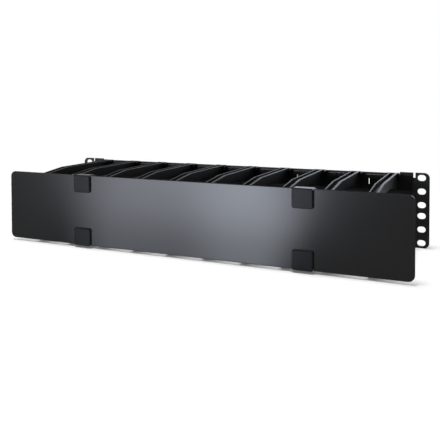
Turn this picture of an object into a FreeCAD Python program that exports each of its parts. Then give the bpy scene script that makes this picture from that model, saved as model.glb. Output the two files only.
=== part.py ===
import FreeCAD, Part
import os
from math import sin, tan

from FreeCAD import Vector

# Horizontal cable manager for a 19-inch rack: a slotted steel panel, two rows of finger mouldings and a
# flat cover on four clips, two of which turn on hinge rods. Millimetres, +X to the right along the
# rack, +Y into the rack, +Z up. The origin is the centre of the mounting slots, on the panel's front face.
# "Reach" is the distance in front of that face, so a point at reach r has Y = -r.

# Rack standard
RACK_UNIT = 44.45
UNITS_HIGH = 2
HEIGHT_PLAY = 0.8
SLOT_OFFSETS = (6.35, 22.225, 38.1)

# Back panel
PANEL_WIDTH = 482.6
PANEL_THICK = 1.6
PANEL_CORNER = 6.0
EAR_WIDE = 19.05
SLOT_FROM_END = 8.75
SLOT_LONG = 9.2
SLOT_HIGH = 7.0
RELIEF_FROM_END = 17.1
RELIEF_WIDE = 2.4
RELIEF_DEEP = 6.0
EDGE_DROP = 1.65
EDGE_DROP_PAST = 7.9
TIE_SLOT_COUNT = 2
TIE_SLOT_BESIDE = 16.8
TIE_SLOT_WIDE = 1.4
TIE_SLOT_LONG = 7.0
TIE_SLOT_BELOW = 12.35

# Finger mouldings
FINGER_COUNT = 10
FINGER_TOP_PLAY = 1.35
BASE_THICK = 2.4
BASE_HIGH = 18.0
BASE_BELOW = 2.2
BASE_GAP = 0.2
ARM_LEFT = 4.6
ARM_RIGHT = 5.4
LEFT_WALL = 1.5
RIGHT_WALL = 2.8
GROOVE_DEEP = 6.0
GROOVE_END = 4.0
TIP_GROOVE_DEEP = 3.0
ARM_STRAIGHT = 100.0
ARM_SLOPE = 0.112
ARM_HIGH = 10.7
GUSSET_REACH = 60.0
GUSSET_FOOT = 18.6
TIP_THICK = 7.0
TIP_CORNER = 9.0
TIP_INNER = 7.0
TIP_CHAMFER = 1.8
TIP_OPENING = 20.0
TIP_TO_COVER = 1.8
LEDGE_REACH = 9.0
LEDGE_HIGH = 4.5
LEDGE_WALL = 1.3
LEDGE_CHAMFER = 0.7
LEDGE_LEFT = 8.0
LEDGE_RIGHT = 13.8
HOOK_LEFT = 7.0
HOOK_RIGHT = 6.7
HOOK_THICK = 1.9
HOOK_DROP = 4.4
HOOK_WALL = 1.6
HOOK_CHAMFER = 0.8
PEG_PLACE = 8.2
PEG_WIDE = 1.8
PEG_RISE = 1.7
PEG_CHAMFER = 1.2
NOTCH_PLAY = 0.15

# Snap tabs that pass through a window in a sheet, on the finger mouldings and on the clips
SNAP_HIGH = 3.0
SNAP_BARB = 0.9
SNAP_LEAD = 1.8
SNAP_PLAY = 0.3
FINGER_SNAP_WIDE = 9.0
FINGER_SNAP_ABOVE = 4.0
CLIP_SNAP_WIDE = 10.0
CLIP_SNAP_ABOVE = 2.6

# Cover plate
COVER_REACH = 151.8
COVER_HEIGHT = 82.4
COVER_THICK = 1.5
COVER_CORNER = 6.6
COVER_CHAMFER = 0.3
COVER_NOTCH_DEEP = 2.9

# Hinge rods
ROD_RADIUS = 1.6
ROD_SETBACK = 8.5
ROD_BELOW_TOP = 3.6
ROD_PLAY = 0.05
ROD_SEAT = 9.0
ROD_END_PLAY = 0.1
PIN_PLAY = 0.02
OUTSIDE_RODS_COUNT = 1

# Cover clips
CLIP_WIDE = 22.4
CLIP_HIGH = 20.6
CLIP_PROUD = 3.0
CLIP_RISE = 0.4
CLIP_CROP = 1.6
CLIP_CHAMFER = 1.1
CLIP_LIP = 1.5
CLIP_PLAY = 0.15
JAW_PAST_ROD = 3.0
JAW_UNDER_ROD = 4.2
JAW_OVER_ROD = 3.8
SHOULDER_AHEAD = 3.3
MOUTH_FLARE = 0.7

# Worked out from the sizes above
PANEL_TOP = (UNITS_HIGH * RACK_UNIT - HEIGHT_PLAY) / 2
SLOT_PLACE = PANEL_WIDTH / 2 - SLOT_FROM_END
RELIEF_PLACE = PANEL_WIDTH / 2 - RELIEF_FROM_END
FINGER_PITCH = (PANEL_WIDTH - 2 * EAR_WIDE) / FINGER_COUNT
ARM_TOP = PANEL_TOP - FINGER_TOP_PLAY
ARM_FRONT = COVER_REACH - COVER_THICK - TIP_TO_COVER
BASE_TOP = ARM_TOP - BASE_BELOW
BASE_FOOT = BASE_TOP - BASE_HIGH
COVER_WIDTH = PANEL_WIDTH
COVER_TOP = COVER_HEIGHT / 2
COVER_INSIDE = COVER_REACH - COVER_THICK
ROD_REACH = ARM_FRONT - ROD_SETBACK
FINGER_SNAP_FOOT = BASE_FOOT + FINGER_SNAP_ABOVE
CLIP_TOP = COVER_TOP + CLIP_RISE
CLIP_FOOT = CLIP_TOP - CLIP_HIGH
CLIP_SNAP_FOOT = CLIP_FOOT + CLIP_SNAP_ABOVE
NOTCH_FOOT = COVER_TOP - COVER_NOTCH_DEEP


def arm_top_at(reach):
    """Height of the arm's upper edge at a reach: level, then falling towards the tip."""
    return ARM_TOP - ARM_SLOPE * max(0.0, reach - ARM_STRAIGHT)


ROD_HEIGHT = arm_top_at(ROD_REACH) - ROD_BELOW_TOP


def finger_places():
    """X of each finger's centre, from left to right."""
    return [FINGER_PITCH * (i - (FINGER_COUNT - 1) / 2) for i in range(FINGER_COUNT)]


def rounded_wire(corners, place):
    """Closed wire through corners (u, v, radius), where a radius above zero becomes a tangent arc."""
    points = [Vector(u, v, 0) for u, v, radius in corners]
    stretches = []
    for i, (u, v, radius) in enumerate(corners):
        here = points[i]
        back = (points[i - 1] - here).normalize()
        ahead = (points[(i + 1) % len(points)] - here).normalize()
        if radius == 0:
            stretches.append((here, None, here))
            continue
        half = back.getAngle(ahead) / 2
        run = radius / tan(half)
        inward = (back + ahead).normalize()
        middle = here + inward * (radius / sin(half) - radius)
        stretches.append((here + back * run, middle, here + ahead * run))
    edges = []
    for i, (entry, middle, leave) in enumerate(stretches):
        if middle is not None:
            arc = Part.Arc(*[place(p.x, p.y) for p in (entry, middle, leave)])
            edges.append(arc.toShape())
        following = stretches[(i + 1) % len(stretches)][0]
        if (following - leave).Length > 1e-6:
            edges.append(Part.LineSegment(place(leave.x, leave.y), place(following.x, following.y)).toShape())
    return Part.Wire(edges)


def side_face(corners, x):
    """Face in a plane of constant X from corners (reach, z, radius)."""
    return Part.Face(rounded_wire(corners, lambda reach, z: Vector(x, -reach, z)))


def side_prism(corners, x_from, x_to):
    """Solid with a side outline of corners (reach, z, radius), between two X values."""
    return side_face(corners, x_from).extrude(Vector(x_to - x_from, 0, 0))


def front_prism(corners, reach_from, reach_to):
    """Solid with a front outline of corners (x, z, radius), between two reaches."""
    face = Part.Face(rounded_wire(corners, lambda x, z: Vector(x, -reach_from, z)))
    return face.extrude(Vector(0, reach_from - reach_to, 0))


def rectangle(x_from, x_to, z_from, z_to, radius=0):
    return [(x_from, z_from, radius), (x_to, z_from, radius), (x_to, z_to, radius), (x_from, z_to, radius)]


def cropped(x_from, x_to, z_from, z_to, crop):
    """Rectangle with its corners cut off at 45 degrees."""
    return [(x_from, z_from + crop, 0), (x_from + crop, z_from, 0), (x_to - crop, z_from, 0),
            (x_to, z_from + crop, 0), (x_to, z_to - crop, 0), (x_to - crop, z_to, 0),
            (x_from + crop, z_to, 0), (x_from, z_to - crop, 0)]


def cross_bar(reach, z, radius, x_from, x_to):
    """Round bar along X between two X values."""
    return Part.makeCylinder(radius, x_to - x_from, Vector(x_from, -reach, z), Vector(1, 0, 0))


def obround(x, z, long, high, reach_from, reach_to):
    """Slot cutter with round ends, longer along X."""
    corners = rectangle(x - long / 2, x + long / 2, z - high / 2, z + high / 2, high / 2)
    return front_prism(corners, reach_from, reach_to)


def snap(seat, sheet, z, wide):
    """Barbed tab from the plane at reach seat, back through a sheet and behind it, with its foot at z."""
    behind = seat - sheet - NOTCH_PLAY
    tip = behind - SNAP_LEAD
    return side_prism([(seat, z, 0), (behind, z, 0), (behind, z - SNAP_BARB, 0), (tip, z + SNAP_BARB, 0),
                       (tip, z + SNAP_HIGH, 0), (seat, z + SNAP_HIGH, 0)], -wide / 2, wide / 2)


def window(x, side, z, wide, seat, sheet):
    """Cutter for the opening that a snap tab passes through."""
    half = wide / 2 + SNAP_PLAY
    corners = rectangle(x - half, x + half, side * (z - SNAP_PLAY), side * (z + SNAP_HIGH + SNAP_PLAY))
    return front_prism(corners, seat - 2 * sheet, seat + sheet)


def flipped(shape):
    """The same shape below the middle: upper and lower parts are mirror images."""
    return shape.mirror(Vector(0, 0, 0), Vector(0, 0, 1))


def moved(shape, x):
    copy = shape.copy()
    copy.translate(Vector(x, 0, 0))
    return copy


def relief(x):
    """Corners of the slit in the panel's long edge beside an ear, from left to right."""
    left, right = x - RELIEF_WIDE / 2, x + RELIEF_WIDE / 2
    foot = PANEL_TOP - RELIEF_DEEP
    return [(left, PANEL_TOP, 0), (left, foot, 0), (right, foot, 0), (right, PANEL_TOP, 0)]


def panel_edge(side):
    """Corners of the panel's long edge from left to right, lowered and notched behind the fingers."""
    top = PANEL_TOP
    low = PANEL_TOP - EDGE_DROP
    notch = ARM_TOP - HOOK_THICK - NOTCH_PLAY
    drop_half = finger_places()[-1] + EDGE_DROP_PAST
    corners = [(-PANEL_WIDTH / 2, top, PANEL_CORNER)] + relief(-RELIEF_PLACE)
    corners += [(-drop_half, top, 0), (-drop_half, low, 0)]
    for x in finger_places():
        left, right = x - HOOK_LEFT - NOTCH_PLAY, x + HOOK_RIGHT + NOTCH_PLAY
        corners += [(left, low, 0), (left, notch, 0), (right, notch, 0), (right, low, 0)]
    corners += [(drop_half, low, 0), (drop_half, top, 0)]
    corners += relief(RELIEF_PLACE)
    corners.append((PANEL_WIDTH / 2, top, PANEL_CORNER))
    return [(x, z * side, radius) for x, z, radius in corners]


def tie_slot_places():
    """X of the tie slots: one beside every other finger from each end."""
    right = [finger_places()[-2 - 2 * i] + TIE_SLOT_BESIDE for i in range(TIE_SLOT_COUNT)]
    return right + [-x for x in right]


def tie_slot(x, side):
    """Cutter for a tie slot, through the panel and the base plate in front of it."""
    z = PANEL_TOP - TIE_SLOT_BELOW
    corners = rectangle(x - TIE_SLOT_WIDE / 2, x + TIE_SLOT_WIDE / 2, side * (z - TIE_SLOT_LONG / 2),
                        side * (z + TIE_SLOT_LONG / 2))
    return front_prism(corners, -2 * PANEL_THICK, LEDGE_REACH / 2)


def back_panel():
    """Steel sheet with ears: mounting slots, tie slots and windows for the fingers' snap tabs."""
    outline = panel_edge(1) + panel_edge(-1)[::-1]
    sheet = front_prism(outline, -PANEL_THICK, 0)
    cutters = []
    for unit in range(UNITS_HIGH):
        for offset in SLOT_OFFSETS:
            z = RACK_UNIT * (unit - UNITS_HIGH / 2) + offset
            for x in (-SLOT_PLACE, SLOT_PLACE):
                cutters.append(obround(x, z, SLOT_LONG, SLOT_HIGH, -2 * PANEL_THICK, PANEL_THICK))
    for side in (-1, 1):
        for x in tie_slot_places():
            cutters.append(tie_slot(x, side))
        for x in finger_places():
            cutters.append(window(x, side, FINGER_SNAP_FOOT, FINGER_SNAP_WIDE, 0, PANEL_THICK))
    return sheet.cut(Part.Compound(cutters))


def arm_outline():
    """Side outline of the arm: level top, sloping front, turned-down tip and a deep gusset at the root."""
    tip_back = ARM_FRONT - TIP_THICK
    tip_foot = TIP_OPENING / 2
    return [(0, ARM_TOP, 0),
            (ARM_STRAIGHT, ARM_TOP, 0),
            (ARM_FRONT, arm_top_at(ARM_FRONT), TIP_CORNER),
            (ARM_FRONT, tip_foot + TIP_CHAMFER, 0),
            (ARM_FRONT - TIP_CHAMFER, tip_foot, 0),
            (tip_back + TIP_CHAMFER, tip_foot, 0),
            (tip_back, tip_foot + TIP_CHAMFER, 0),
            (tip_back, arm_top_at(tip_back) - ARM_HIGH, TIP_INNER),
            (ARM_STRAIGHT, ARM_TOP - ARM_HIGH, 0),
            (GUSSET_REACH, ARM_TOP - ARM_HIGH, 0),
            (0, ARM_TOP - GUSSET_FOOT, 0)]


def groove_outline():
    """Side outline of the cutter that leaves two ribs along the arm's outer edge, closed at both ends."""
    floor_front = ARM_FRONT - TIP_GROOVE_DEEP
    above = ARM_TOP + GROOVE_DEEP
    ahead = ARM_FRONT + GROOVE_DEEP
    return [(BASE_THICK, above, 0),
            (ahead, above, 0),
            (ahead, TIP_OPENING / 2 + GROOVE_END, 0),
            (floor_front, TIP_OPENING / 2 + GROOVE_END, 0),
            (floor_front, arm_top_at(floor_front) - GROOVE_DEEP, 0),
            (ARM_STRAIGHT, ARM_TOP - GROOVE_DEEP, 0),
            (BASE_THICK, ARM_TOP - GROOVE_DEEP, 0)]


def arm():
    """Channel-section arm, smooth on the side that faces the cables and ribbed on the outer side."""
    groove = side_prism(groove_outline(), LEFT_WALL - ARM_LEFT, ARM_RIGHT - RIGHT_WALL)
    return side_prism(arm_outline(), -ARM_LEFT, ARM_RIGHT).cut(groove)


def ledge(x_from, x_to):
    """Shelf along the top of the base plate, with a lip turned down at its front edge."""
    top = BASE_TOP
    lip = LEDGE_REACH - LEDGE_WALL
    return side_prism([(0, top, 0), (LEDGE_REACH - LEDGE_CHAMFER, top, 0),
                       (LEDGE_REACH, top - LEDGE_CHAMFER, 0), (LEDGE_REACH, top - LEDGE_HIGH, 0),
                       (lip, top - LEDGE_HIGH, 0), (lip, top - LEDGE_WALL, 0), (0, top - LEDGE_WALL, 0)],
                      x_from, x_to)


def hook():
    """Hook from the arm's root over the panel's edge and down its rear face."""
    behind = -PANEL_THICK - NOTCH_PLAY
    under = ARM_TOP - HOOK_THICK
    return side_prism([(BASE_THICK, ARM_TOP, 0), (BASE_THICK, under, 0), (behind, under, 0),
                       (behind, ARM_TOP - HOOK_DROP, 0), (behind - HOOK_WALL, ARM_TOP - HOOK_DROP, 0),
                       (behind - HOOK_WALL, ARM_TOP - HOOK_CHAMFER, 0),
                       (behind - HOOK_WALL + HOOK_CHAMFER, ARM_TOP, 0)], -HOOK_LEFT, HOOK_RIGHT)


def peg():
    """Thin rounded rib beside the arm that stops the ledge's end from twisting."""
    top = BASE_TOP + PEG_RISE
    return side_prism([(0, top, 0), (LEDGE_REACH - PEG_CHAMFER, top, 0), (LEDGE_REACH, top - PEG_CHAMFER, 0),
                       (LEDGE_REACH, BASE_TOP - LEDGE_HIGH / 2, 0),
                       (0, BASE_TOP - BASE_HIGH / 2, 0)], PEG_PLACE - PEG_WIDE / 2, PEG_PLACE + PEG_WIDE / 2)


def finger(ledge_left, ledge_right, rod_left, rod_right):
    """One upper moulding at X = 0, with the ledges and the blind bores for rods that it has."""
    half = FINGER_PITCH / 2 - BASE_GAP / 2
    plate = front_prism(rectangle(-half, half, BASE_FOOT, BASE_TOP), 0, BASE_THICK)
    neck = front_prism(rectangle(-HOOK_LEFT, HOOK_RIGHT, BASE_TOP, ARM_TOP), 0, BASE_THICK)
    pieces = [neck, arm(), hook(), peg(), snap(0, PANEL_THICK, FINGER_SNAP_FOOT, FINGER_SNAP_WIDE)]
    if ledge_left:
        pieces.append(ledge(-half, -LEDGE_LEFT))
    if ledge_right:
        pieces.append(ledge(LEDGE_RIGHT, half))
    moulding = plate.fuse(pieces)
    bore = ROD_RADIUS + PIN_PLAY
    if rod_left:
        moulding = moulding.cut(cross_bar(ROD_REACH, ROD_HEIGHT, bore, -2 * ARM_LEFT, ROD_SEAT - ARM_LEFT))
    if rod_right:
        moulding = moulding.cut(cross_bar(ROD_REACH, ROD_HEIGHT, bore, ARM_RIGHT - ROD_SEAT, 2 * ARM_RIGHT))
    return moulding


def fingers():
    """All mouldings by node name. The two at the ends have no ledge on their outer side."""
    nodes = {}
    last = FINGER_COUNT - 1
    for i, x in enumerate(finger_places()):
        upper = finger(i > 0, i < last, i - 1 in rod_spans(), i in rod_spans())
        for slot in tie_slot_places():
            if abs(slot - x) < FINGER_PITCH / 2:
                upper = upper.cut(tie_slot(slot - x, 1))
        upper = moved(upper.removeSplitter(), x)
        nodes[f"finger_top_{i + 1:02d}"] = upper
        nodes[f"finger_bottom_{i + 1:02d}"] = flipped(upper)
    return nodes


def rod_spans():
    """Index of the finger at the left end of each rod."""
    return (OUTSIDE_RODS_COUNT, FINGER_COUNT - 2 - OUTSIDE_RODS_COUNT)


def hinge_rod(index):
    """Upper rod between fingers index and index + 1, held at each end in a blind bore."""
    places = finger_places()
    left = places[index] + ARM_RIGHT - ROD_SEAT + ROD_END_PLAY
    right = places[index + 1] - ARM_LEFT + ROD_SEAT - ROD_END_PLAY
    return cross_bar(ROD_REACH, ROD_HEIGHT, ROD_RADIUS, left, right)


def clip_places():
    """X of the clips, midway between the fingers that hold their rod."""
    places = finger_places()
    return [(places[i] + places[i + 1]) / 2 for i in rod_spans()]


def cover_plate():
    """Flat steel cover, notched at its long edges where the clips wrap them."""
    outline = rectangle(-COVER_WIDTH / 2, COVER_WIDTH / 2, -COVER_TOP, COVER_TOP, COVER_CORNER)
    plate = front_prism(outline, COVER_INSIDE, COVER_REACH)
    rims = [edge for face in plate.Faces if face.normalAt(0, 0).y < -0.99 for edge in face.Edges]
    plate = plate.makeChamfer(COVER_CHAMFER, rims)
    half = CLIP_WIDE / 2 + CLIP_PLAY
    cutters = []
    for x in clip_places():
        for side in (-1, 1):
            notch = rectangle(x - half, x + half, NOTCH_FOOT, COVER_TOP + COVER_NOTCH_DEEP)
            notch = [(u, side * v, radius) for u, v, radius in notch]
            cutters.append(front_prism(notch, COVER_INSIDE - COVER_THICK, COVER_REACH + COVER_THICK))
            cutters.append(window(x, side, CLIP_SNAP_FOOT, CLIP_SNAP_WIDE, COVER_REACH, COVER_THICK))
    return plate.cut(Part.Compound(cutters))


def clip():
    """Upper clip at X = 0: front plate, bridge over the cover's edge and a jaw that opens to the rear."""
    front = COVER_REACH + CLIP_PROUD
    back = ROD_REACH - JAW_PAST_ROD
    jaw_foot = ROD_HEIGHT - JAW_UNDER_ROD
    half = CLIP_WIDE / 2
    body = side_prism([(COVER_REACH, CLIP_FOOT, 0), (front, CLIP_FOOT, 0), (front, CLIP_TOP, 0),
                       (ROD_REACH + SHOULDER_AHEAD, CLIP_TOP, 0), (back, ROD_HEIGHT + JAW_OVER_ROD, 0),
                       (back, jaw_foot, CLIP_LIP), (COVER_INSIDE, jaw_foot, 0),
                       (COVER_INSIDE, NOTCH_FOOT + CLIP_PLAY, 0), (COVER_REACH, NOTCH_FOOT + CLIP_PLAY, 0)],
                      -half, half)
    body = body.common(front_prism(cropped(-half, half, CLIP_FOOT, CLIP_TOP, CLIP_CROP), 0, front))
    rims = [edge for face in body.Faces if face.normalAt(0, 0).y < -0.99
            and abs(face.CenterOfMass.y + front) < 1e-6 for edge in face.Edges]
    body = body.makeChamfer(CLIP_CHAMFER, rims)
    seat = ROD_RADIUS + ROD_PLAY
    mouth = seat + MOUTH_FLARE
    opening = side_prism([(ROD_REACH, ROD_HEIGHT - seat, 0), (ROD_REACH, ROD_HEIGHT + seat, 0),
                          (back - CLIP_LIP, ROD_HEIGHT + mouth, 0), (back - CLIP_LIP, ROD_HEIGHT - mouth, 0)],
                         -CLIP_WIDE, CLIP_WIDE)
    body = body.cut(opening.fuse(cross_bar(ROD_REACH, ROD_HEIGHT, seat, -CLIP_WIDE, CLIP_WIDE)))
    return body.fuse(snap(COVER_REACH, COVER_THICK, CLIP_SNAP_FOOT, CLIP_SNAP_WIDE))


def build():
    nodes = {"back_panel": back_panel(), "cover_plate": cover_plate()}
    nodes.update(fingers())
    for side, index, x in zip(("left", "right"), rod_spans(), clip_places()):
        rod = hinge_rod(index)
        upper_clip = moved(clip(), x)
        nodes[f"hinge_rod_top_{side}"] = rod
        nodes[f"hinge_rod_bottom_{side}"] = flipped(rod)
        nodes[f"cover_clip_top_{side}"] = upper_clip
        nodes[f"cover_clip_bottom_{side}"] = flipped(upper_clip)
    return nodes


os.makedirs("parts", exist_ok=True)
for name, shape in build().items():
    if not shape.isValid():
        raise ValueError(name + " is not a valid shape")
    shape.exportStep("parts/" + name + ".step")
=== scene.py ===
from math import cos, pi, radians, sin

import bmesh
import bpy
import numpy as np
from mathutils import Matrix, Vector


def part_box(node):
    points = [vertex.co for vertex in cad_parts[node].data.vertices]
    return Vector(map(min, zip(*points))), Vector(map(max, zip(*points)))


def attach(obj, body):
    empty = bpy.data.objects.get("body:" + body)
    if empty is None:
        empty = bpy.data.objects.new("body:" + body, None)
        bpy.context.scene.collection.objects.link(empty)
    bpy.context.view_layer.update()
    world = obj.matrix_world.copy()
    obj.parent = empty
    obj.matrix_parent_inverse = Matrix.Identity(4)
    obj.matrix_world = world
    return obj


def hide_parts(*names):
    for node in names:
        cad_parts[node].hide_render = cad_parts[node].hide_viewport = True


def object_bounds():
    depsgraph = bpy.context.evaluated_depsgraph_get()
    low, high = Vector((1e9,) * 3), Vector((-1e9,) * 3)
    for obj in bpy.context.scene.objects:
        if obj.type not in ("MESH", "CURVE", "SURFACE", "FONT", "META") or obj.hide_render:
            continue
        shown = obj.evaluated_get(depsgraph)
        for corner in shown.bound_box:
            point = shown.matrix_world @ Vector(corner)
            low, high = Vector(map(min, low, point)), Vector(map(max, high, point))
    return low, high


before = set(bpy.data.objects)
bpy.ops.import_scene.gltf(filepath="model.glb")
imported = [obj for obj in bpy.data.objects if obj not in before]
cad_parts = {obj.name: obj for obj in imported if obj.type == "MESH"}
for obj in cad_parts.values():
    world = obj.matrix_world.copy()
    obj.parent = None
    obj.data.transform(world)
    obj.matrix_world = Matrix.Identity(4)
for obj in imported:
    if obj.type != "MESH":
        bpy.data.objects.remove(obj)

bl_info = {
    "name": "Horizontal cable manager",
    "version": (1, 0, 0),
    "blender": (4, 5, 0),
    "location": "View3D > Sidebar > Cable manager",
    "description": "Finishes a rack cable manager's panel, fingers, cover and clips, and sets its studio",
    "category": "Object",
}

CAD_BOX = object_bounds()
MM = 0.001
ROWS = ("top", "bottom")
SIDES = ("left", "right")
FINGERS = sorted(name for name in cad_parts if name.startswith("finger_"))
CLIPS = [f"cover_clip_{row}_{side}" for row in ROWS for side in SIDES]
RODS = [f"hinge_rod_{row}_{side}" for row in ROWS for side in SIDES]

# Edge rounding: corners closer than a distance are merged, faces flatter than an angle are joined, and edges
# sharper than an angle are rounded. Angles are in degrees.
MERGE_DISTANCE = 0.002 * MM
FLAT_ANGLE = 0.4
SHARP_ANGLE = 32.0
ROUND_SEGMENTS = 2

# How much each texture adds to the roughness of its finish
PANEL_CLOUD_DULL = 0.10
COVER_WAVE_DULL = 0.03
COVER_GRAIN_DULL = 0.03
FINGER_FLOW_DULL = 0.10
FINGER_PEBBLE_DULL = 0.06
CLIP_GRAIN_DULL = 0.08
ROD_LINES_DULL = 0.12

# Rim and dust nibs of the cover's paint. A nib's radius is a share of the distance between nibs.
RIM_WIDE = 0.8 * MM
RIM_DULL = 0.75
NIBS_APART = 12.0 * MM
NIB_RADIUS = 0.05
NIB_HEIGHT = 0.6

# Floor, in metres: the plain colour takes over between two distances, which are twice as long along x.
FLOOR_HALF = 12.0
FLOOR_FADE = (0.30, 0.55)
FLOOR_STRETCH = (0.5, 1, 1)

# Key lamp, in degrees: how wide it shines, and how far it stands in front and to the left
KEY_WIDE = 24.0
KEY_FORWARD = 4.0
KEY_LEFT = 8.0

# Front card: turns in degrees, runs and heights in metres, and levels. add_front_card tells how they work.
CARD_TURNS = (44.0, 10.0)
CARD_RISE = (38.6, 33.2)
CARD_HUMP = (28.0, 22.0)
CARD_FALL = (14.2, 19.2)
CARD_FALL_DRIFT = 1.2
CARD_DRIFT_END = 0.25
CARD_SHOULDER = 0.54
CARD_NEAR = 0.008
CARD_FAR = 1.0
CARD_TALL = 0.5
CARD_FOOT = 0.4
CARD_FULL = 0.4
CARD_LIFT = 0.5 * MM
CARD_POINTS = (61, 41)

# Back card, in metres
BACK_CARD_Y = 1.8
BACK_CARD_X = (-2.0, 1.2)
BACK_CARD_Z = (0.15, 1.15)
BACK_CARD_RISE = (-1.4, 0.5)
BACK_CARD_POINTS = (33, 9)

# Camera: width of its sensor in millimetres, and the nearest and furthest that it sees, in metres
SENSOR_WIDE = 36.0
VIEW_NEAR = 0.01
VIEW_FAR = 50.0


# Shader expressions


class Socket:
    """A shader output that adds Math nodes when it is used in an expression."""

    def __init__(self, nodes, output):
        self.nodes = nodes
        self.output = output

    def math(self, operation, *others):
        values = [self, *others]
        return self.nodes.make("ShaderNodeMath", {"operation": operation}, values)

    def __add__(self, other):
        return self.math("ADD", other)

    __radd__ = __add__

    def __mul__(self, other):
        return self.math("MULTIPLY", other)

    __rmul__ = __mul__

    def __rsub__(self, other):
        return self.nodes.make("ShaderNodeMath", {"operation": "SUBTRACT"}, [other, self])

    def between(self, low, high):
        """0 below low, 1 above high, smooth in between."""
        sockets = {"Value": self, "From Min": low, "From Max": high}
        return self.nodes.make("ShaderNodeMapRange", {"interpolation_type": "SMOOTHSTEP"}, sockets)


class Nodes:
    """Node maker for one node tree. make() sets a node's settings first and then its sockets."""

    def __init__(self, tree):
        self.tree = tree

    def make(self, kind, settings=None, sockets=None, output=0):
        node = self.tree.nodes.new(kind)
        for name, value in (settings or {}).items():
            setattr(node, name, value)
        pairs = sockets.items() if isinstance(sockets, dict) else enumerate(sockets or [])
        for key, value in pairs:
            if isinstance(value, Socket):
                self.tree.links.new(value.output, node.inputs[key])
            else:
                node.inputs[key].default_value = value
        return Socket(self, node.outputs[output])

    def place(self):
        """Object coordinates, in metres."""
        return self.make("ShaderNodeTexCoord", output="Object")

    def away_from_middle(self, axis):
        """Distance from the object's middle plane along one axis."""
        parts = self.make("ShaderNodeSeparateXYZ", sockets=[self.place()], output=axis)
        return parts.math("ABSOLUTE")

    def stretched(self, scale):
        """Object coordinates multiplied by a vector."""
        return self.make("ShaderNodeMapping", sockets={"Vector": self.place(), "Scale": scale})

    def noise(self, size, detail, rough=0.5, stretch=(1, 1, 1)):
        """Noise from 0 to 1 whose patches are about size metres across."""
        sockets = {"Vector": self.stretched(stretch), "Scale": 1 / size, "Detail": detail, "Roughness": rough}
        return self.make("ShaderNodeTexNoise", sockets=sockets)

    def cells(self, apart):
        """Distance to the nearest of many points, as a share of the metres that they are apart."""
        return self.make("ShaderNodeTexVoronoi", sockets={"Vector": self.place(), "Scale": 1 / apart})

    def tint(self, mask, low, high):
        """Colour between low and high by a mask.

        The Mix node's sockets are given by number, because those for numbers and colours share their names.
        """
        factor, first_colour, second_colour, mixed_colour = 0, 6, 7, 2
        sockets = {factor: mask, first_colour: (*low, 1), second_colour: (*high, 1)}
        return self.make("ShaderNodeMix", {"data_type": "RGBA"}, sockets, output=mixed_colour)

    def bump(self, height, distance, strength):
        """Normal of a surface with a height from 0 to 1 that stands for a distance in metres."""
        sockets = {"Height": height, "Distance": distance, "Strength": strength}
        return self.make("ShaderNodeBump", sockets=sockets)

    def surface(self, **sockets):
        """Principled surface joined to the material's output."""
        named = {name.replace("_", " "): value for name, value in sockets.items()}
        self.finish(self.make("ShaderNodeBsdfPrincipled", sockets=named))

    def finish(self, shader, kind="ShaderNodeOutputMaterial"):
        """Shader joined to the tree's output."""
        end = self.tree.nodes.new(kind)
        self.tree.links.new(shader.output, end.inputs["Surface"])


# Finishes


def material(name):
    """Empty node material and its node maker."""
    made = bpy.data.materials.new(name)
    made.use_nodes = True
    made.node_tree.nodes.clear()
    return made, Nodes(made.node_tree)


def darker(colour, share):
    return tuple(channel * share for channel in colour)


def powder_coat(settings):
    """Black powder coat: fine orange peel, with slightly uneven gloss."""
    made, nodes = material("powder_coat")
    peel = nodes.noise(size=0.9 * MM, detail=3)
    cloud = nodes.noise(size=30 * MM, detail=3)
    nodes.surface(
        Base_Color=nodes.tint(cloud, darker(settings.panel_colour, share=0.85), settings.panel_colour),
        Roughness=settings.panel_roughness + cloud * PANEL_CLOUD_DULL,
        Specular_IOR_Level=settings.panel_shine,
        Normal=nodes.bump(peel, distance=0.03 * MM, strength=0.6),
    )
    return made


def satin_paint(settings):
    """Smooth satin paint with a faint long waviness, a few dust nibs and a dull rim round the plate."""
    made, nodes = material("satin_paint")
    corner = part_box("cover_plate")[1]
    side = nodes.away_from_middle("X").between(corner.x - RIM_WIDE, corner.x - RIM_WIDE / 2)
    edge = nodes.away_from_middle("Z").between(corner.z - RIM_WIDE, corner.z - RIM_WIDE / 2)
    rim = side.math("MAXIMUM", edge)
    wave = nodes.noise(size=50 * MM, detail=2)
    grain = nodes.noise(size=0.6 * MM, detail=2)
    nibs = 1 - nodes.cells(NIBS_APART).between(0, NIB_RADIUS)
    uneven = wave * COVER_WAVE_DULL + grain * COVER_GRAIN_DULL
    nodes.surface(
        Base_Color=nodes.tint(wave, darker(settings.cover_colour, share=0.9), settings.cover_colour),
        Roughness=settings.cover_roughness + uneven + rim * RIM_DULL,
        Specular_IOR_Level=settings.cover_shine,
        Normal=nodes.bump(grain + nibs * NIB_HEIGHT, distance=0.012 * MM, strength=0.5),
    )
    return made


def moulded_grain(settings):
    """Spark-eroded mould texture: a fine pebble in colour, gloss and height, and slow streaks of gloss."""
    made, nodes = material("moulded_grain")
    pebble = nodes.noise(size=0.7 * MM, detail=4, rough=0.6)
    flow = nodes.noise(size=20 * MM, detail=2, stretch=(1, 0.25, 1))
    uneven = flow * FINGER_FLOW_DULL + pebble * FINGER_PEBBLE_DULL
    nodes.surface(
        Base_Color=nodes.tint(pebble, darker(settings.finger_colour, share=0.7), settings.finger_colour),
        Roughness=settings.finger_roughness + uneven,
        Specular_IOR_Level=settings.finger_shine,
        Normal=nodes.bump(pebble, distance=0.04 * MM, strength=0.5),
    )
    return made


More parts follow.
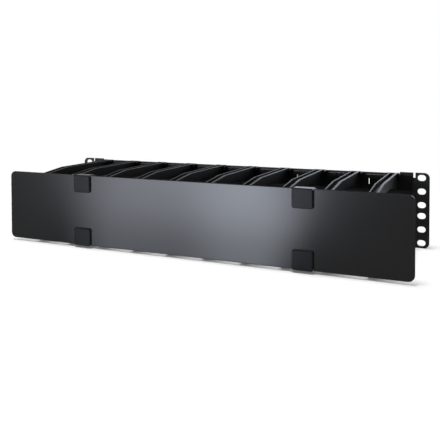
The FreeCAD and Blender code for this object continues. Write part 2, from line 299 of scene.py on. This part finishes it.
def clip_grain(settings):
    """Slightly paler moulded plastic with a close satin grain."""
    made, nodes = material("clip_grain")
    grain = nodes.noise(size=0.5 * MM, detail=3)
    patch = nodes.noise(size=8 * MM, detail=2)
    nodes.surface(
        Base_Color=nodes.tint(patch, darker(settings.clip_colour, share=0.88), settings.clip_colour),
        Roughness=settings.clip_roughness + grain * CLIP_GRAIN_DULL,
        Specular_IOR_Level=settings.clip_shine,
        Normal=nodes.bump(grain, distance=0.02 * MM, strength=0.5),
    )
    return made


def drawn_steel(settings):
    """Bright drawn steel with fine lines along the rod."""
    made, nodes = material("drawn_steel")
    lines = nodes.noise(size=0.4 * MM, detail=2, stretch=(0.02, 1, 1))
    nodes.surface(
        Base_Color=nodes.tint(lines, darker(settings.rod_colour, share=0.8), settings.rod_colour),
        Metallic=1.0,
        Roughness=settings.rod_roughness + lines * ROD_LINES_DULL,
        Normal=nodes.bump(lines, distance=0.01 * MM, strength=0.4),
    )
    return made


# Meshes


def merged_copy(node):
    """Mesh of a CAD node with its triangles joined, and flat faces made whole, ready for a bevel."""
    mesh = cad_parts[node].data.copy()
    mesh.materials.clear()
    work = bmesh.new()
    work.from_mesh(mesh)
    bmesh.ops.remove_doubles(work, verts=work.verts, dist=MERGE_DISTANCE)
    bmesh.ops.dissolve_limit(work, angle_limit=radians(FLAT_ANGLE), verts=work.verts, edges=work.edges)
    work.to_mesh(mesh)
    work.free()
    return mesh


def add_piece(name, mesh, surface, body):
    """Object at the origin that rides on a body and carries the given material."""
    piece = bpy.data.objects.new(name, mesh)
    bpy.context.scene.collection.objects.link(piece)
    mesh.materials.append(surface)
    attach(piece, body)
    return piece


def rounded_node(node, surface, body, edge_round):
    """Copy of a CAD node whose sharp edges are rounded, in place of the node."""
    piece = add_piece(node + "_finished", merged_copy(node), surface, body)
    piece.data.shade_smooth()
    bevel = piece.modifiers.new("edge_round", "BEVEL")
    bevel.width = edge_round
    bevel.segments = ROUND_SEGMENTS
    bevel.limit_method = "ANGLE"
    bevel.angle_limit = radians(SHARP_ANGLE)
    bevel.use_clamp_overlap = True
    even = piece.modifiers.new("even_shading", "WEIGHTED_NORMAL")
    even.weight = 100
    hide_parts(node)
    return piece


# Settings


def colour(name, description, default):
    return bpy.props.FloatVectorProperty(
        name=name, description=description, default=default, size=3, min=0, max=1, subtype="COLOR"
    )


def length(name, description, default):
    return bpy.props.FloatProperty(
        name=name, description=description, default=default, min=0, unit="LENGTH", precision=5
    )


def position(name, description, default):
    return bpy.props.FloatVectorProperty(name=name, description=description, default=default, unit="LENGTH")


def share(name, description, default):
    return bpy.props.FloatProperty(name=name, description=description, default=default, min=0, max=1)


def amount(name, description, default):
    return bpy.props.FloatProperty(name=name, description=description, default=default, min=0)


def angle(name, description, degrees):
    return bpy.props.FloatProperty(
        name=name, description=description, default=radians(degrees), subtype="ANGLE"
    )


class FinishSettings(bpy.types.PropertyGroup):
    """Colours, gloss and edge rounding of the pieces."""

    panel_colour: colour("Panel colour", "Powder coat of the back panel", (0.007, 0.007, 0.0075))
    panel_shine: share("Panel shine", "Reflection level of the powder coat", 0.16)
    panel_roughness: share("Panel roughness", "Roughness of the powder coat", 0.40)
    panel_round: length("Panel edge", "Rounding of the panel's edges", 0.25 * MM)
    cover_colour: colour("Cover colour", "Satin paint of the cover", (0.0032, 0.0034, 0.004))
    cover_shine: share("Cover shine", "Reflection level of the satin paint", 0.17)
    cover_roughness: share("Cover roughness", "Roughness of the satin paint", 0.20)
    cover_round: length("Cover edge", "Rounding of the cover's edges", 0.2 * MM)
    finger_colour: colour("Finger colour", "Plastic of the finger mouldings", (0.004, 0.004, 0.004))
    finger_shine: share("Finger shine", "Reflection level of the finger plastic", 0.06)
    finger_roughness: share("Finger roughness", "Roughness of the finger plastic", 0.38)
    finger_round: length("Finger edge", "Rounding of the mouldings' edges", 0.35 * MM)
    clip_colour: colour("Clip colour", "Plastic of the cover clips", (0.014, 0.0147, 0.017))
    clip_shine: share("Clip shine", "Reflection level of the clip plastic", 0.04)
    clip_roughness: share("Clip roughness", "Roughness of the clip plastic", 0.33)
    clip_round: length("Clip edge", "Rounding of the clips' edges", 0.3 * MM)
    rod_colour: colour("Rod colour", "Steel of the hinge rods", (0.55, 0.55, 0.56))
    rod_roughness: share("Rod roughness", "Roughness of the rods", 0.24)
    rod_round: length("Rod edge", "Rounding of the rods' edges", 0.2 * MM)


class StageSettings(bpy.types.PropertyGroup):
    """Camera, light, floor and the cards that only gloss and glass show."""

    camera_place: position("Camera place", "Where the camera stands", (0.3016, -0.7417, 0.1321))
    camera_turn: angle("Camera turn", "Turn of the view to the left of straight ahead", 23.66)
    camera_tilt: angle("Camera tilt", "Tilt of the view below level", 1.7)
    camera_roll: angle("Camera roll", "Roll about the line of view", -0.115)
    camera_lens: bpy.props.FloatProperty(name="Lens", description="Focal length in mm", default=49.958, min=1)
    camera_shift: bpy.props.FloatProperty(
        name="Shift", description="Upward shift of the frame, as a share of its width", default=-0.2372
    )
    floor_colour: colour("Floor colour", "Colour of the floor and the space around", (1.0, 1.0, 1.0))
    floor_glow: share("Floor glow", "Share of the plain colour on the floor beside the object", 0.12)
    room_light: amount("Room light", "Strength of the even light on matt surfaces", 0.15)
    key_light: amount("Key light", "Soft light from above, where 1 shows white as white", 0.93)
    card_colour: colour("Card colour", "Colour of the lit cards", (0.84, 0.89, 1.0))
    front_card: amount("Front card", "Strength of the card in front of the cover", 27.5)
    back_card: amount("Back card", "Strength of the card behind the panel", 4.8)


# Pieces


class CABLE_OT_panel(bpy.types.Operator):
    """Finish the back panel with powder coat and rounded edges"""

    bl_idname = "cable_manager.panel"
    bl_label = "Back panel"

    def execute(self, context):
        settings = context.scene.cable_finish
        rounded_node("back_panel", powder_coat(settings), "frame", settings.panel_round)
        return {"FINISHED"}


class CABLE_OT_fingers(bpy.types.Operator):
    """Finish the finger mouldings of both rows"""

    bl_idname = "cable_manager.fingers"
    bl_label = "Finger mouldings"

    def execute(self, context):
        settings = context.scene.cable_finish
        surface = moulded_grain(settings)
        for node in FINGERS:
            rounded_node(node, surface, "frame", settings.finger_round)
        return {"FINISHED"}


class CABLE_OT_rods(bpy.types.Operator):
    """Finish the hinge rods in drawn steel"""

    bl_idname = "cable_manager.rods"
    bl_label = "Hinge rods"

    def execute(self, context):
        settings = context.scene.cable_finish
        surface = drawn_steel(settings)
        for node in RODS:
            rounded_node(node, surface, "frame", settings.rod_round)
        return {"FINISHED"}


class CABLE_OT_cover(bpy.types.Operator):
    """Finish the cover plate with satin paint"""

    bl_idname = "cable_manager.cover"
    bl_label = "Cover plate"

    def execute(self, context):
        settings = context.scene.cable_finish
        rounded_node("cover_plate", satin_paint(settings), "cover", settings.cover_round)
        return {"FINISHED"}


class CABLE_OT_clips(bpy.types.Operator):
    """Finish the four clips that carry the cover"""

    bl_idname = "cable_manager.clips"
    bl_label = "Cover clips"

    def execute(self, context):
        settings = context.scene.cable_finish
        surface = clip_grain(settings)
        for node in CLIPS:
            rounded_node(node, surface, "cover", settings.clip_round)
        return {"FINISHED"}


# Studio


def smooth(values, low, high):
    """0 at low, 1 at high, and the cubic 3t^2 - 2t^3 in between."""
    t = np.clip((values - low) / (high - low), 0, 1)
    return t * t * (3 - 2 * t)


def grid_mesh(name, grid_x, grid_y, grid_z):
    """Mesh of quads over a grid of points, whose first index runs across and whose second runs along."""
    across, along = grid_x.shape
    points = np.stack([grid_x, grid_y, grid_z], axis=-1).reshape(-1, 3)
    corner = (np.arange(across - 1)[:, None] * along + np.arange(along - 1)).ravel()
    faces = np.stack([corner, corner + along, corner + along + 1, corner + 1], axis=-1)
    mesh = bpy.data.meshes.new(name)
    mesh.from_pydata(points.tolist(), [], faces.tolist())
    return mesh


def add_stage_piece(name, mesh, surface):
    """Object that belongs to the studio and not to the part."""
    mesh.materials.append(surface)
    piece = bpy.data.objects.new(name, mesh)
    bpy.context.scene.collection.objects.link(piece)
    return piece


def ray_kind(nodes, name):
    """1 for rays of one kind and 0 for the others."""
    return nodes.make("ShaderNodeLightPath", output=name)


def background_rays(nodes):
    """1 for rays that show the background: those from the camera, from gloss and through glass."""
    gloss_or_glass = ray_kind(nodes, "Is Glossy Ray").math("MAXIMUM", ray_kind(nodes, "Is Transmission Ray"))
    return ray_kind(nodes, "Is Camera Ray").math("MAXIMUM", gloss_or_glass)


def plain_floor(settings):
    """Matt floor under a plain colour: its shadows show beside the object and the plain colour beyond."""
    made, nodes = material("plain_floor")
    paint = (*settings.floor_colour, 1)
    matt = nodes.make("ShaderNodeBsdfDiffuse", sockets={"Color": paint})
    bright = nodes.make("ShaderNodeEmission", sockets={"Color": paint, "Strength": 1.0})
    reach = nodes.stretched(FLOOR_STRETCH)
    away = nodes.make("ShaderNodeVectorMath", {"operation": "LENGTH"}, [reach], output="Value")
    plain = away.between(*FLOOR_FADE) * (1 - settings.floor_glow) + settings.floor_glow
    shown = background_rays(nodes) * plain
    nodes.finish(nodes.make("ShaderNodeMixShader", sockets=[shown, matt, bright]))
    return made


def add_floor(settings):
    """Level square under the object."""
    side = np.array([-FLOOR_HALF, 0, FLOOR_HALF])
    grid_x, grid_y = np.meshgrid(side, side, indexing="ij")
    mesh = grid_mesh("floor", grid_x, grid_y, np.full_like(grid_x, CAD_BOX[0].z))
    add_stage_piece("floor", mesh, plain_floor(settings))


def add_card(name, settings, strength, grid, level):
    """Lit card over a grid of points, seen in gloss and glass alone, with a level from 0 to 1 at each point.

    At level 0 it shows the plain colour of the room at a strength of 1.
    """
    mesh = grid_mesh(name, *grid)
    mesh.attributes.new("level", "FLOAT", "POINT").data.foreach_set("value", level.ravel())
    made, nodes = material(name)
    lit = nodes.make("ShaderNodeAttribute", {"attribute_name": "level"}, output="Fac")
    tint = nodes.tint(lit, darker(settings.floor_colour, 1 / strength), settings.card_colour)
    nodes.finish(nodes.make("ShaderNodeEmission", sockets={"Color": tint, "Strength": strength}))
    card = add_stage_piece(name, mesh, made)
    card.visible_camera = card.visible_diffuse = card.visible_shadow = False


def add_front_card(settings):
    """Fan on the floor that stands up at its far end, with its sides on lines through one point.

    The point is the camera's mirror image in the cover. A place on the card has a turn to the left, seen from
    that point, and a run away from the cover. y is the cover's face minus the run, but no further than
    CARD_FAR. z is just above the floor, plus what is left of the run. x = apex_x - (apex_y - y) tan(turn).

    From left to right the level rises to CARD_SHOULDER, then to 1 at the hump, and falls steeply. All of it
    is multiplied by CARD_FOOT at the cover, and by 1 from a run of CARD_FULL on. Beside the cover the fall
    stands further left by CARD_FALL_DRIFT, which fades out up to a run of CARD_DRIFT_END.
    """
    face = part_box("cover_plate")[0].y
    apex_x, apex_y = settings.camera_place[0], 2 * face - settings.camera_place[1]
    turns, runs = CARD_POINTS
    turn = np.radians(np.linspace(*CARD_TURNS, turns))
    run = np.linspace(CARD_NEAR, CARD_FAR + CARD_TALL, runs)
    turn, run = np.meshgrid(turn, run, indexing="ij")
    y = face - np.minimum(run, CARD_FAR)
    x = apex_x - (apex_y - y) * np.tan(turn)
    hump = CARD_SHOULDER + (1 - CARD_SHOULDER) * smooth(turn, *np.radians(CARD_HUMP))
    drift = radians(CARD_FALL_DRIFT) * (1 - smooth(run, 0, CARD_DRIFT_END))
    across = smooth(turn, *np.radians(CARD_RISE)) * smooth(turn - drift, *np.radians(CARD_FALL)) * hump
    along = CARD_FOOT + (1 - CARD_FOOT) * smooth(run, CARD_NEAR, CARD_FULL)
    z = CAD_BOX[0].z + CARD_LIFT + np.maximum(run - CARD_FAR, 0)
    add_card("front_card", settings, settings.front_card, (x, y, z), across * along)


def add_back_card(settings):
    """Upright card behind the panel: a plane of constant y, whose level rises smoothly along x."""
    across, up = BACK_CARD_POINTS
    x, z = np.meshgrid(np.linspace(*BACK_CARD_X, across), np.linspace(*BACK_CARD_Z, up), indexing="ij")
    y = np.full_like(x, BACK_CARD_Y)
    add_card("back_card", settings, settings.back_card, (x, y, z), smooth(x, *BACK_CARD_RISE))


def add_world(settings):
    """Even room: the plain colour to the eye, in gloss and in glass, and a level of it on matt surfaces."""
    world = bpy.data.worlds.new("room")
    world.use_nodes = True
    world.node_tree.nodes.clear()
    nodes = Nodes(world.node_tree)
    strength = background_rays(nodes) + ray_kind(nodes, "Is Diffuse Ray") * settings.room_light
    sockets = {"Color": (*settings.floor_colour, 1), "Strength": strength}
    nodes.finish(nodes.make("ShaderNodeBackground", sockets=sockets), "ShaderNodeOutputWorld")
    bpy.context.scene.world = world


def add_key_light(settings):
    """Wide soft light from above, a little in front and to the left. It isn't seen in gloss.

    A level white floor under a sun of energy pi shows as white.
    """
    data = bpy.data.lights.new("key_light", "SUN")
    data.energy = settings.key_light * pi
    data.angle = radians(KEY_WIDE)
    lamp = bpy.data.objects.new("key_light", data)
    lamp.rotation_euler = (radians(KEY_FORWARD), -radians(KEY_LEFT), 0)
    lamp.visible_glossy = False
    bpy.context.scene.collection.objects.link(lamp)


def add_camera(settings):
    """Camera from its turn, tilt and roll, with a shifted frame so that uprights stay upright."""
    turn, tilt, roll = settings.camera_turn, settings.camera_tilt, settings.camera_roll
    ahead = Vector((-sin(turn) * cos(tilt), cos(turn) * cos(tilt), -sin(tilt)))
    level = Vector((cos(turn), sin(turn), 0))
    above = level.cross(ahead)
    right = cos(roll) * level + sin(roll) * above
    up = -sin(roll) * level + cos(roll) * above
    data = bpy.data.cameras.new("camera")
    data.sensor_width = SENSOR_WIDE
    data.lens = settings.camera_lens
    data.shift_y = settings.camera_shift
    data.clip_start = VIEW_NEAR
    data.clip_end = VIEW_FAR
    camera = bpy.data.objects.new("camera", data)
    axes = Matrix((right, up, -ahead)).transposed().to_4x4()
    camera.matrix_world = Matrix.Translation(settings.camera_place) @ axes
    bpy.context.scene.collection.objects.link(camera)
    bpy.context.scene.camera = camera


class CABLE_OT_stage(bpy.types.Operator):
    """Add the floor, the room, the soft lamp, the lit cards and the camera"""

    bl_idname = "cable_manager.stage"
    bl_label = "Studio"

    def execute(self, context):
        settings = context.scene.cable_stage
        context.scene.view_settings.view_transform = "Standard"
        add_floor(settings)
        add_world(settings)
        add_key_light(settings)
        add_front_card(settings)
        add_back_card(settings)
        add_camera(settings)
        return {"FINISHED"}


STEPS = (
    CABLE_OT_panel,
    CABLE_OT_fingers,
    CABLE_OT_rods,
    CABLE_OT_cover,
    CABLE_OT_clips,
    CABLE_OT_stage,
)


class CABLE_PT_sidebar(bpy.types.Panel):
    """Sidebar panel with every step and its settings"""

    bl_idname = "CABLE_PT_sidebar"
    bl_label = "Cable manager"
    bl_space_type = "VIEW_3D"
    bl_region_type = "UI"
    bl_category = "Cable manager"

    def draw(self, context):
        for settings in (context.scene.cable_finish, context.scene.cable_stage):
            box = self.layout.box()
            for name in settings.__annotations__:
                box.prop(settings, name)
        for step in STEPS:
            self.layout.operator(step.bl_idname)


CLASSES = (FinishSettings, StageSettings, *STEPS, CABLE_PT_sidebar)


def register():
    for one in CLASSES:
        bpy.utils.register_class(one)
    bpy.types.Scene.cable_finish = bpy.props.PointerProperty(type=FinishSettings)
    bpy.types.Scene.cable_stage = bpy.props.PointerProperty(type=StageSettings)


def unregister():
    del bpy.types.Scene.cable_stage
    del bpy.types.Scene.cable_finish
    for one in reversed(CLASSES):
        bpy.utils.unregister_class(one)


def main():
    register()
    bpy.ops.cable_manager.panel()
    bpy.ops.cable_manager.fingers()
    bpy.ops.cable_manager.rods()
    bpy.ops.cable_manager.cover()
    bpy.ops.cable_manager.clips()
    bpy.ops.cable_manager.stage()


if __name__ == "__main__":
    main()
